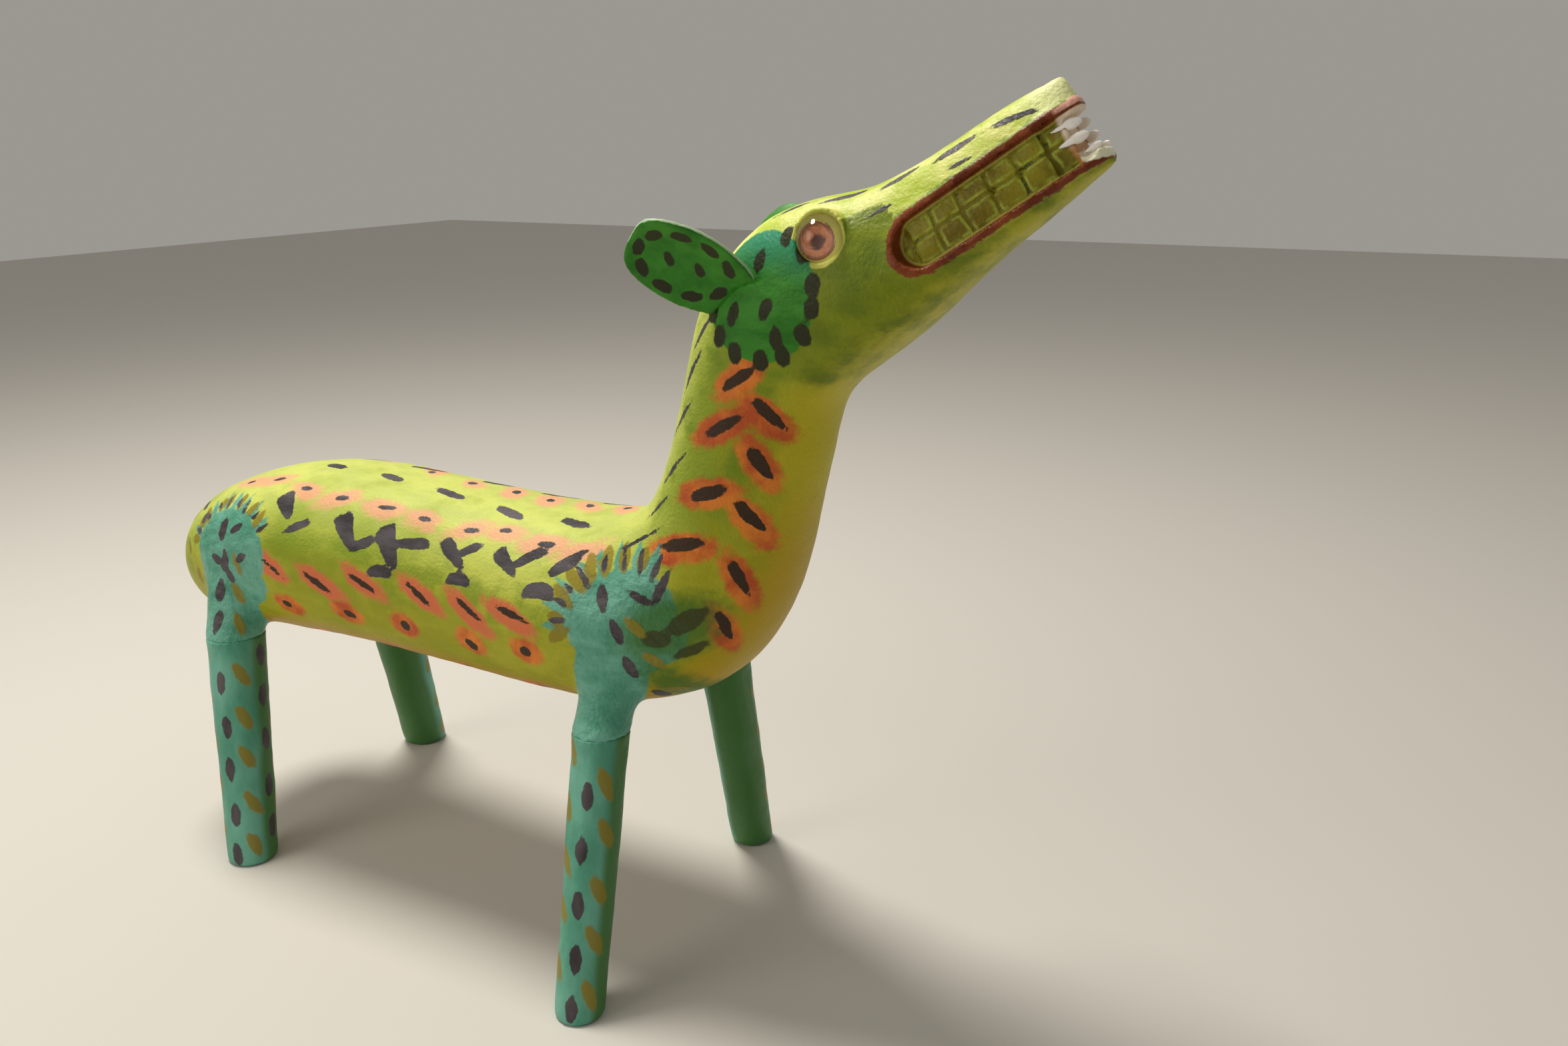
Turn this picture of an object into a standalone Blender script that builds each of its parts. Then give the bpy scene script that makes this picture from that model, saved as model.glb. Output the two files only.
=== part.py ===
"""Painted folk carving of a giraffe: a log body with neck and head in one, four peg legs,
two leaf ears, two glass eyes and six front teeth. Metres, +Z up, the animal faces +X."""

import math

import bmesh
import bpy
from mathutils import Matrix, Vector
from mathutils.bvhtree import BVHTree

# Driving sizes
FIGURE_HEIGHT = 0.624
FIT_GAP = 0.0003
FRONT_LEG_TOP_DIAMETER = 0.042
FRONT_LEG_FOOT_DIAMETER = 0.0365
HIND_LEG_TOP_DIAMETER = 0.048
HIND_LEG_FOOT_DIAMETER = 0.0415
FOOT_EDGE_RADIUS = 0.004
SHOULDER_FLARE = 0.003
EAR_LENGTH = 0.072
EAR_WIDTH = 0.048
EAR_THICKNESS = 0.004
EAR_CUP = 0.006
EAR_ROOT_DEPTH = 0.012
EYE_DIAMETER = 0.029
EYE_DOME_HEIGHT = 0.010
EYE_SOCKET_DEPTH = 0.003
EYE_RIM_WIDTH = 0.0035
EYE_RIM_HEIGHT = 0.002
EYE_RIM_DEPTH = 0.012
MOUTH_DEPTH = 0.008
LIP_WIDTH = 0.005
LIP_HEIGHT = 0.0015
BACK_TOOTH_RISE = 0.003
BACK_TOOTH_GAP = 0.0025
BACK_TOOTH_CORNER = 0.002
BACK_TEETH_IN_ROW = 5
FRONT_TOOTH_WIDTH = 0.0075
FRONT_TOOTH_THICKNESS = 0.0055

# The free form is drawn in millimetres on a figure of this height
DRAWN_HEIGHT = 624.0
SCALE = FIGURE_HEIGHT / DRAWN_HEIGHT

# How far a cutter reaches past the surface that it cuts
CUTTER_REACH = 60 * SCALE
RING_POINTS = 28
RINGS_PER_STATION = 2

# Carving stations from the rump to the muzzle. Each is a slice through the log:
# its upper and lower points in the plane of symmetry (x, z), its half width,
# how square the slice is (2 is an ellipse), and how much wider it is below than above.
STATIONS = [
    ((-300, 250), (-303, 214), 34, 2.0, 0.00),
    ((-290, 280), (-294, 194), 58, 2.1, 0.00),
    ((-258, 303), (-262, 182), 76, 2.3, 0.00),
    ((-204, 320), (-208, 182), 84, 2.4, 0.00),
    ((-140, 329), (-144, 185), 84, 2.4, 0.00),
    ((-70, 329), (-72, 187), 80, 2.4, 0.00),
    ((0, 326), (2, 186), 78, 2.4, 0.00),
    ((66, 324), (76, 186), 80, 2.4, 0.02),
    ((126, 326), (152, 188), 82, 2.3, 0.04),
    ((172, 332), (218, 200), 80, 2.2, 0.04),
    ((196, 348), (262, 226), 72, 2.1, 0.02),
    ((208, 368), (291, 266), 63, 2.1, 0.00),
    ((217, 396), (309, 312), 57, 2.1, 0.00),
    ((225, 426), (320, 356), 53, 2.1, 0.00),
    ((232, 458), (330, 396), 51, 2.1, 0.00),
    ((242, 490), (338, 427), 50, 2.2, 0.04),
    ((262, 519), (354, 445), 50, 2.4, 0.10),
    ((289, 543), (376, 462), 49, 2.6, 0.16),
    ((324, 557), (400, 481), 46, 2.7, 0.22),
    ((362, 564), (422, 502), 39, 2.6, 0.26),
    ((397, 580), (446, 525), 33, 2.6, 0.28),
    ((435, 603), (475, 548), 25, 2.6, 0.30),
    ((460, 617), (496, 566), 19.5, 2.6, 0.34),
    ((469, 621), (504, 573), 14.5, 2.6, 0.42),
    ((474, 623), (508, 577), 10, 2.6, 0.45),
    ((477, 624), (510, 579), 5, 2.6, 0.45),
]
# The snout's stations, between which the mouth is hollowed, and the last one that keeps its width
SNOUT_FIRST_STATION = 17
SNOUT_LAST_STATION = 22

# The muzzle's own axes: u runs back from the mouth's front, v up across the snout
MUZZLE_TIP = (495, 0, 602)
MUZZLE_SLOPE = math.radians(34.8)
MOUTH_BACK = 124
MOUTH_TOP = 9.5
MOUTH_BOTTOM = -20.5
GAPE_BACK = 12
GAPE_TOP = 7
GAPE_BOTTOM = -17.5
TOOTH_ROW_FRONT = 26

# Legs: where the leg stands (x, y), where it meets the shoulder under the belly (x, y),
# where the shoulder fades into the log (x, y, z), and which pair it belongs to
LEG_SEAM_HEIGHT = 188
LEGS = {
    "leg_front_right": ((203, -137), (185, -74), (186, -44, 254), "front"),
    "leg_front_left": ((185, 125), (192, 77), (190, 44, 254), "front"),
    "leg_hind_right": ((-176, -114), (-206, -79), (-214, -52, 280), "hind"),
    "leg_hind_left": ((-213, 126), (-203, 84), (-212, 54, 280), "hind"),
}
LEG_SIZES = {
    "front": (FRONT_LEG_TOP_DIAMETER, FRONT_LEG_FOOT_DIAMETER),
    "hind": (HIND_LEG_TOP_DIAMETER, HIND_LEG_FOOT_DIAMETER),
}

# Front teeth: root and crown ends in muzzle axes, and size as a share of the full tooth
FRONT_TEETH = {
    "upper": ((21, 4.5), (2.5, 1), 1.0),
    "middle": ((21, -5.5), (2.5, -7.2), 1.0),
    "lower": ((11, -15), (-0.5, -15.5), 0.7),
}
# Where a crown stands, as a share of its root's distance from the middle
CROWN_TURN = 0.62
# A tooth's girth at its root as a share of its crown's, and how soon it is at its widest
TOOTH_ROOT_SHARE = 0.35
CROWN_WIDEST = 0.62
# How much of a shoulder's radius its upper edge is rounded by
SHOULDER_ROUNDING = 0.7
EYE_PLACE = (345.5, 535)
EYE_FACING = (0.10, -1.0, 0.22)
EAR_ROOT = (287, 502)
EAR_FACING = (-0.80, -0.60, 0.54)
EAR_ROOT_LINE = (0.90, 0.0, 0.43)
# Outline of an ear: its width at the root and at the widest as shares of EAR_WIDTH,
# and how far along it the tip starts to close
EAR_ROOT_SHARE = 0.70
EAR_BELLY_SHARE = 0.62
EAR_CLOSING = 0.92


def drawn(x, y, z):
    """A point of the drawing as a real point."""
    return Vector((x, y, z)) * SCALE


def muzzle_matrix():
    """Local X back along the snout, Y to the animal's right, Z up across the snout."""
    back = Vector((-math.cos(MUZZLE_SLOPE), 0, -math.sin(MUZZLE_SLOPE)))
    up = Vector((-math.sin(MUZZLE_SLOPE), 0, math.cos(MUZZLE_SLOPE)))
    turned = Matrix((back, up.cross(back), up)).transposed()
    return Matrix.Translation(drawn(*MUZZLE_TIP)) @ turned.to_4x4()


def facing_matrix(origin, facing):
    """Local Z along facing."""
    turned = Vector(facing).to_track_quat("Z", "Y").to_matrix()
    return Matrix.Translation(origin) @ turned.to_4x4()


def material(name, colour, roughness, alpha=1.0):
    made = bpy.data.materials.new(name)
    made.use_nodes = True
    shader = made.node_tree.nodes["Principled BSDF"]
    shader.inputs["Base Color"].default_value = (*colour, 1.0)
    shader.inputs["Roughness"].default_value = roughness
    shader.inputs["Metallic"].default_value = 0.0
    shader.inputs["Alpha"].default_value = alpha
    made.diffuse_color = (*colour, alpha)
    return made


def new_collection(name):
    made = bpy.data.collections.new(name)
    bpy.context.scene.collection.children.link(made)
    return made


def add_object(name, mesh, collection, surface=None):
    made = bpy.data.objects.new(name, mesh)
    made.parent = stand
    collection.objects.link(made)
    if surface:
        mesh.materials.append(surface)
    if collection == cutters:
        made.hide_render = True
        made.display_type = "WIRE"
    return made


def mesh_from(bm, name, sharp_angle=40):
    bmesh.ops.recalc_face_normals(bm, faces=bm.faces[:])
    mesh = bpy.data.meshes.new(name)
    bm.to_mesh(mesh)
    bm.free()
    mesh.shade_smooth()
    mesh.set_sharp_from_angle(angle=math.radians(sharp_angle))
    return mesh


def boolean(target, other, operation):
    modifier = target.modifiers.new(f"{operation.lower()} {other.name}", "BOOLEAN")
    modifier.operation = operation
    modifier.object = other
    modifier.solver = "EXACT"


def power(value, exponent):
    return math.copysign(abs(value) ** exponent, value)


def spline(a, b, c, d, t):
    """Catmull-Rom value between b and c."""
    return 0.5 * (2 * b + (c - a) * t + (2 * a - 5 * b + 4 * c - d) * t * t
                  + (3 * b - a - 3 * c + d) * t * t * t)


def station_values(index):
    (xt, zt), (xb, zb), width, square, flare = STATIONS[index]
    return (xt, zt, xb, zb, width, square, flare)


def slices():
    """The stations with smooth slices worked out between them."""
    last = len(STATIONS) - 1
    found = []
    for index in range(last):
        around = [station_values(min(max(index + k, 0), last)) for k in (-1, 0, 1, 2)]
        for step in range(RINGS_PER_STATION):
            t = step / RINGS_PER_STATION
            found.append([spline(*column, t) for column in zip(*around)])
    found.append(list(station_values(last)))
    return found


def ring(values):
    """Points round one slice, starting at its top."""
    xt, zt, xb, zb, width, square, flare = values
    middle = Vector(((xt + xb) / 2, 0, (zt + zb) / 2))
    up = Vector(((xt - xb) / 2, 0, (zt - zb) / 2))
    points = []
    for k in range(RING_POINTS):
        angle = 2 * math.pi * k / RING_POINTS
        rise = power(math.cos(angle), 2 / square)
        side = power(math.sin(angle), 2 / square) * (1 - flare * rise)
        points.append((middle + up * rise + Vector((0, -width * side, 0))) * SCALE)
    return points


def loft_mesh(name, loops):
    """A solid through a row of rings, closed at both ends."""
    bm = bmesh.new()
    rings = [[bm.verts.new(p) for p in loop] for loop in loops]
    for near, far in zip(rings, rings[1:]):
        for k in range(RING_POINTS):
            j = (k + 1) % RING_POINTS
            bm.faces.new((near[k], near[j], far[j], far[k]))
    bm.faces.new(reversed(rings[0]))
    bm.faces.new(rings[-1])
    return mesh_from(bm, name)


def log_mesh(name):
    """The plain log from the rump to the muzzle."""
    return loft_mesh(name, [ring(values) for values in slices()])


def snout_core(name, depth, front):
    """The inside of the snout, less than its width by depth each side, up to u = front."""
    loops = []
    first = SNOUT_FIRST_STATION * RINGS_PER_STATION
    last = SNOUT_LAST_STATION * RINGS_PER_STATION
    for values in slices()[first:last + 1]:
        narrowed = list(values)
        narrowed[4] -= depth / SCALE
        loops.append(ring(narrowed))
    middle = sum(loops[-1], Vector()) / RING_POINTS
    place = muzzle_matrix()
    forward = place.to_3x3() @ Vector((front - (place.inverted() @ middle).x, 0, 0))
    loops.append([point + forward for point in loops[-1]])
    return add_object(name, loft_mesh(name, loops), cutters)


def skin(name, offset):
    """A cutter of the log's shape, swollen by offset."""
    made = add_object(name, log_mesh(name), cutters)
    swell = made.modifiers.new("swell", "DISPLACE")
    swell.direction = "NORMAL"
    swell.mid_level = 0.0
    swell.strength = offset
    return made


def on_log(x, z, side):
    """The point of the log's side at x and z, both in drawing millimetres."""
    start = drawn(x, 0, z) + Vector((0, side, 0))
    return log_tree.ray_cast(start, Vector((0, -side, 0)))[0]


def shoulder(name, leg_name):
    """The built-up stump over a leg, flat below where the leg meets it, rounded above."""
    _, seam, top, pair = LEGS[leg_name]
    radius = LEG_SIZES[pair][0] / 2
    low = drawn(*seam, LEG_SEAM_HEIGHT)
    high = drawn(*top)
    bm = bmesh.new()
    height = high.z - low.z
    bmesh.ops.create_cone(bm, cap_ends=True, segments=20, radius1=radius,
                          radius2=radius + SHOULDER_FLARE, depth=height)
    bmesh.ops.translate(bm, verts=bm.verts[:], vec=(0, 0, height / 2))
    rim = [e for e in bm.edges if all(v.co.z > height / 2 for v in e.verts)]
    bmesh.ops.bevel(bm, geom=rim, offset=radius * SHOULDER_ROUNDING, segments=4, profile=0.5,
                    affect="EDGES", material=-1)
    for vert in bm.verts:
        vert.co = Vector((vert.co.x, vert.co.y, 0)) + low.lerp(high, vert.co.z / height)
    return add_object(name, mesh_from(bm, name), cutters)


def bar_outline(margin):
    """Outline (u, v) of the mouth: a long bar with a round back, open at the front."""
    top = MOUTH_TOP * SCALE + margin
    bottom = MOUTH_BOTTOM * SCALE - margin
    radius = (top - bottom) / 2
    back = MOUTH_BACK * SCALE + margin - radius
    points = [(-CUTTER_REACH, bottom), (back, bottom)]
    steps = 10
    for k in range(1, steps):
        angle = -math.pi / 2 + math.pi * k / steps
        points.append((back + radius * math.cos(angle),
                       (top + bottom) / 2 + radius * math.sin(angle)))
    return points + [(back, top), (-CUTTER_REACH, top)]


def mouth_bar(name, margin, start, end):
    """The mouth's bar as a solid across the snout, from y = start to y = end."""
    bm = bmesh.new()
    face = bm.faces.new([bm.verts.new((u, start, v)) for u, v in bar_outline(margin)])
    pulled = bmesh.ops.extrude_face_region(bm, geom=[face])
    moved = [e for e in pulled["geom"] if isinstance(e, bmesh.types.BMVert)]
    bmesh.ops.translate(bm, verts=moved, vec=(0, end - start, 0))
    bmesh.ops.transform(bm, matrix=muzzle_matrix(), verts=bm.verts[:])
    return add_object(name, mesh_from(bm, name), cutters)


def add_block(bm, low, high, corner=0.0):
    """Adds a box between two corners (u, y, v), its edges along y rounded by corner."""
    made = bmesh.ops.create_cube(bm, size=1.0)["verts"]
    bmesh.ops.scale(bm, verts=made, vec=[b - a for a, b in zip(low, high)])
    bmesh.ops.translate(bm, verts=made, vec=[(a + b) / 2 for a, b in zip(low, high)])
    if corner:
        edges = {e for v in made for e in v.link_edges}
        along = [e for e in edges if abs(e.verts[0].co.y - e.verts[1].co.y) > (high[1] - low[1]) / 2]
        bmesh.ops.bevel(bm, geom=along, offset=corner, segments=2, profile=0.5,
                        affect="EDGES", material=-1)


def back_teeth(name, side):
    """Two rows of square teeth, standing in the mouth's floor before they are trimmed."""
    top = MOUTH_TOP * SCALE
    bottom = MOUTH_BOTTOM * SCALE
    middle = (top + bottom) / 2
    front = TOOTH_ROW_FRONT * SCALE
    back = MOUTH_BACK * SCALE - (top - bottom) / 4
    pitch = (back - front) / BACK_TEETH_IN_ROW
    half_gap = BACK_TOOTH_GAP / 2
    bm = bmesh.new()
    for low, high in ((bottom + BACK_TOOTH_GAP, middle - half_gap),
                      (middle + half_gap, top - BACK_TOOTH_GAP)):
        for k in range(BACK_TEETH_IN_ROW):
            u = front + k * pitch
            add_block(bm, (u, LIP_WIDTH, low), (u + pitch - BACK_TOOTH_GAP, CUTTER_REACH, high),
                      BACK_TOOTH_CORNER)
    if side > 0:
        bmesh.ops.scale(bm, verts=bm.verts[:], vec=(1, -1, 1))
    bmesh.ops.transform(bm, matrix=muzzle_matrix(), verts=bm.verts[:])
    return add_object(name, mesh_from(bm, name), cutters)


def front_block(name, low, high):
    """A block right across the mouth's front, between two heights v."""
    bm = bmesh.new()
    add_block(bm, (-CUTTER_REACH, -CUTTER_REACH, low), (GAPE_BACK * SCALE, CUTTER_REACH, high))
    bmesh.ops.transform(bm, matrix=muzzle_matrix(), verts=bm.verts[:])
    return add_object(name, mesh_from(bm, name), cutters)


def eye_seat(side):
    """Where the eye sits on the log, with local Z straight out of the socket."""
    facing = (EYE_FACING[0], EYE_FACING[1] * -side, EYE_FACING[2])
    return facing_matrix(on_log(*EYE_PLACE, side), facing)


def disc(name, seat, radius, low, high):
    bm = bmesh.new()
    bmesh.ops.create_cone(bm, cap_ends=True, segments=28, radius1=radius, radius2=radius,
                          depth=high - low)
    bmesh.ops.translate(bm, verts=bm.verts[:], vec=(0, 0, (low + high) / 2))
    bmesh.ops.transform(bm, matrix=seat, verts=bm.verts[:])
    return add_object(name, mesh_from(bm, name), cutters)


def eye(name, side, surface):
    """A glass dome on a short straight edge that stands in its socket."""
    radius = EYE_DIAMETER / 2
    sphere = (radius ** 2 + EYE_DOME_HEIGHT ** 2) / (2 * EYE_DOME_HEIGHT)
    half_angle = math.acos((sphere - EYE_DOME_HEIGHT) / sphere)
    steps = 5
    outline = [(0.0, FIT_GAP - EYE_SOCKET_DEPTH), (radius, FIT_GAP - EYE_SOCKET_DEPTH)]
    for k in range(steps + 1):
        angle = half_angle * (1 - k / steps)
        outline.append((sphere * math.sin(angle),
                        EYE_RIM_HEIGHT + EYE_DOME_HEIGHT - sphere * (1 - math.cos(angle))))
    bm = bmesh.new()
    chain = [bm.verts.new((r, 0, z)) for r, z in outline]
    edges = [bm.edges.new(pair) for pair in zip(chain, chain[1:])]
    bmesh.ops.spin(bm, geom=chain + edges, cent=(0, 0, 0), axis=(0, 0, 1),
                   angle=2 * math.pi, steps=24, use_merge=True)
    bmesh.ops.remove_doubles(bm, verts=bm.verts[:], dist=0.00001)
    bmesh.ops.transform(bm, matrix=eye_seat(side), verts=bm.verts[:])
    return add_object(name, mesh_from(bm, name), parts, surface)


def leg(name, surface):
    """A whittled peg that leans in from its flat sole to its shoulder."""
    foot, seam, _, pair = LEGS[name]
    top_diameter, foot_diameter = LEG_SIZES[pair]
    height = LEG_SEAM_HEIGHT * SCALE
    bm = bmesh.new()
    bmesh.ops.create_cone(bm, cap_ends=True, segments=20, radius1=foot_diameter / 2,
                          radius2=top_diameter / 2, depth=height - FIT_GAP)
    bmesh.ops.translate(bm, verts=bm.verts[:], vec=(0, 0, (height - FIT_GAP) / 2))
    sole = [e for e in bm.edges if all(v.co.z < height / 2 for v in e.verts)]
    bmesh.ops.bevel(bm, geom=sole, offset=FOOT_EDGE_RADIUS, segments=3, profile=0.5,
                    affect="EDGES", material=-1)
    low = drawn(*foot, 0)
    high = drawn(*seam, 0)
    for vert in bm.verts:
        vert.co += low.lerp(high, vert.co.z / height)
    return add_object(name, mesh_from(bm, name), parts, surface)


def ear(name, side, surface):
    """A thin cupped leaf standing out of the side of the head."""
    out = Vector((EAR_FACING[0], EAR_FACING[1] * -side, EAR_FACING[2])).normalized()
    line = Vector(EAR_ROOT_LINE)
    across = (line - out * line.dot(out)).normalized()
    bowl = out.cross(across) * side
    root = on_log(*EAR_ROOT, side) - out * EAR_ROOT_DEPTH
    bm = bmesh.new()
    bmesh.ops.create_grid(bm, x_segments=4, y_segments=2, size=0.5)
    for vert in bm.verts:
        along = vert.co.x + 0.5
        wide = EAR_ROOT_SHARE + EAR_BELLY_SHARE * math.sin(math.pi * along * EAR_CLOSING)
        sideways = vert.co.y * EAR_WIDTH * wide
        dish = EAR_CUP * (4 * vert.co.y * vert.co.y - 0.5)
        vert.co = (root + out * (along * (EAR_LENGTH + EAR_ROOT_DEPTH))
                   + across * sideways + bowl * dish)
    made = add_object(name, mesh_from(bm, name), parts, surface)
    smooth = made.modifiers.new("rounded outline", "SUBSURF")
    smooth.levels = 2
    smooth.render_levels = 2
    wall = made.modifiers.new("thickness", "SOLIDIFY")
    wall.thickness = EAR_THICKNESS
    wall.offset = 0.0
    boolean(made, log_clear, "DIFFERENCE")
    return made


def front_tooth(name, kind, side, surface):
    """A spoon-ended tooth lying on the mouth's floor: a pointed root and a rounded crown."""
    (root_u, root_v), (crown_u, crown_v), share = FRONT_TEETH[kind]
    place = muzzle_matrix()
    start = place @ Vector((root_u * SCALE, 0, root_v * SCALE))
    end = place @ Vector((crown_u * SCALE, 0, crown_v * SCALE))
    floor = abs(on_log(start.x / SCALE, start.z / SCALE, side).y) - MOUTH_DEPTH
    aside = floor + FIT_GAP + FRONT_TOOTH_THICKNESS * share / 4
    start.y = side * aside
    end.y = side * aside * CROWN_TURN
    along = end - start
    bm = bmesh.new()
    bmesh.ops.create_uvsphere(bm, u_segments=8, v_segments=8, radius=0.5)
    for vert in bm.verts:
        t = vert.co.z + 0.5
        swell = (TOOTH_ROOT_SHARE
                 + (1 - TOOTH_ROOT_SHARE) * math.sin(math.pi * t * CROWN_WIDEST) ** 2)
        vert.co.x *= FRONT_TOOTH_WIDTH * share * swell
        vert.co.y *= FRONT_TOOTH_THICKNESS * share * swell
        vert.co.z = t * along.length
    bmesh.ops.transform(bm, matrix=tooth_matrix(start, along, side), verts=bm.verts[:])
    made = add_object(name, mesh_from(bm, name), parts, surface)
    boolean(made, floor_clear, "DIFFERENCE")
    boolean(made, jaw_clear, "DIFFERENCE")
    return made


def tooth_matrix(start, along, side):
    """Local Z along the tooth, Y out of the mouth, X across the snout."""
    ahead = along.normalized()
    out = Vector((0, side, 0))
    out = (out - ahead * out.dot(ahead)).normalized()
    turned = Matrix((out.cross(ahead), out, ahead)).transposed()
    return Matrix.Translation(start) @ turned.to_4x4()


def body(surface):
    """The log with its shoulders, lips, mouth, back teeth and eye rims."""
    made = add_object("body", log_mesh("body"), parts, surface)
    for leg_name in LEGS:
        boolean(made, shoulder(f"shoulder_{leg_name}", leg_name), "UNION")
    lips = mouth_bar("lips", LIP_WIDTH, -CUTTER_REACH, CUTTER_REACH)
    boolean(lips, lip_skin, "INTERSECT")
    boolean(made, lips, "UNION")
    for side, label in SIDES:
        hollow = mouth_bar(f"mouth_{label}", 0.0, 0.0, -side * CUTTER_REACH)
        boolean(hollow, mouth_floor, "DIFFERENCE")
        boolean(made, hollow, "DIFFERENCE")
        teeth = back_teeth(f"back_teeth_{label}", side)
        boolean(teeth, tooth_faces, "INTERSECT")
        boolean(made, teeth, "UNION")
        seat = eye_seat(side)
        socket_radius = EYE_DIAMETER / 2 + FIT_GAP
        rim = disc(f"eye_rim_{label}", seat, socket_radius + EYE_RIM_WIDTH, -EYE_RIM_DEPTH,
                   EYE_RIM_HEIGHT)
        boolean(made, rim, "UNION")
        socket = disc(f"socket_{label}", seat, socket_radius, -EYE_SOCKET_DEPTH, CUTTER_REACH)
        boolean(made, socket, "DIFFERENCE")
    boolean(made, gape, "DIFFERENCE")
    return made


def set_on_origin():
    """Moves the whole figure so that the origin is under its middle, at its soles."""
    bpy.context.view_layer.update()
    graph = bpy.context.evaluated_depsgraph_get()
    corners = []
    for made in parts.objects:
        ready = made.evaluated_get(graph)
        corners += [ready.matrix_world @ Vector(corner) for corner in ready.bound_box]
    low = [min(c[axis] for c in corners) for axis in range(3)]
    high = [max(c[axis] for c in corners) for axis in range(3)]
    stand.location = (-(low[0] + high[0]) / 2, -(low[1] + high[1]) / 2, -low[2])


for old in list(bpy.data.objects):
    bpy.data.objects.remove(old)
parts = new_collection("giraffe_sculpture")
cutters = new_collection("cutters")
stand = bpy.data.objects.new("figure_place", None)
bpy.context.scene.collection.objects.link(stand)
SIDES = ((-1, "right"), (1, "left"))

green_paint = material("green_paint", (0.42, 0.52, 0.08), 0.55)
teal_paint = material("teal_paint", (0.12, 0.42, 0.34), 0.5)
ear_paint = material("ear_paint", (0.05, 0.26, 0.12), 0.5)
clear_glass = material("clear_glass", (0.9, 0.75, 0.6), 0.05, 0.5)
tooth_paint = material("tooth_paint", (0.85, 0.82, 0.74), 0.35)

plain_log = add_object("plain_log", log_mesh("plain_log"), cutters)
log_tree = BVHTree.FromPolygons([v.co for v in plain_log.data.vertices],
                                [p.vertices[:] for p in plain_log.data.polygons])
log_clear = skin("log_clear", FIT_GAP)
lip_skin = skin("lip_skin", LIP_HEIGHT)
mouth_floor = snout_core("mouth_floor", MOUTH_DEPTH, -2 * CUTTER_REACH)
tooth_faces = snout_core("tooth_faces", MOUTH_DEPTH - BACK_TOOTH_RISE, 0)
floor_clear = snout_core("floor_clear", MOUTH_DEPTH - FIT_GAP, GAPE_BACK * SCALE - FIT_GAP)
gape = front_block("gape", GAPE_BOTTOM * SCALE, GAPE_TOP * SCALE)
jaw_clear = front_block("jaw_clear", -CUTTER_REACH, GAPE_BOTTOM * SCALE + FIT_GAP)

body(green_paint)
for leg_name in LEGS:
    leg(leg_name, teal_paint)
for side, label in SIDES:
    ear(f"ear_{label}", side, ear_paint)
    eye(f"eye_{label}", side, clear_glass)
    for kind in FRONT_TEETH:
        front_tooth(f"tooth_{kind}_{label}", kind, side, tooth_paint)
set_on_origin()
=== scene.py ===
"""Paint, glass and finish of the giraffe carving, laid over its solids."""

import math
import random

import bmesh
import bpy
import numpy as np
from mathutils import Matrix, Vector, noise
from mathutils.bvhtree import BVHTree


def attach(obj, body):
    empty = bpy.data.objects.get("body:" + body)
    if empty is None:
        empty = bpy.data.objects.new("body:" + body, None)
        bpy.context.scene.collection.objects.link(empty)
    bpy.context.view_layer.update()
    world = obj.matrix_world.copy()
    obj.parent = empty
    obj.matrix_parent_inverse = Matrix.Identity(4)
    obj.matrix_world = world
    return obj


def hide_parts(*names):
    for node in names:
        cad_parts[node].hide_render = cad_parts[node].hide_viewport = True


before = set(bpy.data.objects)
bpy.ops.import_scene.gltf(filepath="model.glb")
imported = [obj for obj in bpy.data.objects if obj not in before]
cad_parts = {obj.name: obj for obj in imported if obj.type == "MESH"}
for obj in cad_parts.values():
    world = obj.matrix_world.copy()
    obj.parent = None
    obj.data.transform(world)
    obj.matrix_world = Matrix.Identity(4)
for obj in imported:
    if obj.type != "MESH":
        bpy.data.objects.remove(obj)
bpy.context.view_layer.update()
random.seed(7)

MM = 0.001
# The log's plane of symmetry and the place of its drawing in the model
PLACE = Vector((-0.1035, 0.00407, 0))
RIGHT, LEFT = -1, 1

# The log from the rump to the muzzle: upper (x, z) and lower (x, z) point of each station
SPINE = [
    (-300, 250, -303, 214), (-258, 303, -262, 182), (-204, 320, -208, 182),
    (-140, 329, -144, 185), (-70, 329, -72, 187), (0, 326, 2, 186), (66, 324, 76, 186),
    (126, 326, 152, 188), (172, 332, 218, 200), (196, 348, 262, 226), (208, 368, 291, 266),
    (217, 396, 309, 312), (225, 426, 320, 356), (232, 458, 330, 396), (242, 490, 338, 427),
    (262, 519, 354, 445), (289, 543, 376, 462), (324, 557, 400, 481), (362, 564, 422, 502),
    (397, 580, 446, 525), (435, 603, 475, 548), (460, 617, 496, 566), (477, 624, 510, 579),
]
# Legs: the middle (x, y) of each sole and of each seam under the shoulder, and the seams' height
LEGS = {
    "leg_front_right": ((203, -137), (185, -74)),
    "leg_front_left": ((185, 125), (192, 77)),
    "leg_hind_right": ((-176, -114), (-206, -79)),
    "leg_hind_left": ((-213, 126), (-203, 84)),
}
SEAM = 188
# The muzzle's axes: u back from the mouth's front, v up across the snout
MUZZLE_TIP = Vector((495, 0, 602))
SLOPE = math.radians(34.8)
MOUTH_MIDDLE, MOUTH_RADIUS, MOUTH_BACK = -5.5, 15, 124
TOOTH_ROW_FRONT, TOOTH_PITCH = 26, 18.1
EYE_CENTRE = (345.5, 535)
# Sizes in millimetres: the painted relief and the iris
TOOTH_GAP_WIDTH, TOOTH_GAP_DEPTH = 2.2, 0.7
HIP, HIP_RADIUS, HIP_LUMPS = (-208, 80, 262), 50, 1.8
LEG_FLAT_DEPTH = 1.6
SEAM_COVER = 1.3
IRIS_DISC, PUPIL, IRIS, PAINT_DEPTH = 14.1, 3.3, 8.3, 0.12


def placed(x, y, z):
    """A point of the drawing, in millimetres, as a point of the model."""
    return Vector((x, y, z)) * MM + PLACE


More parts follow.
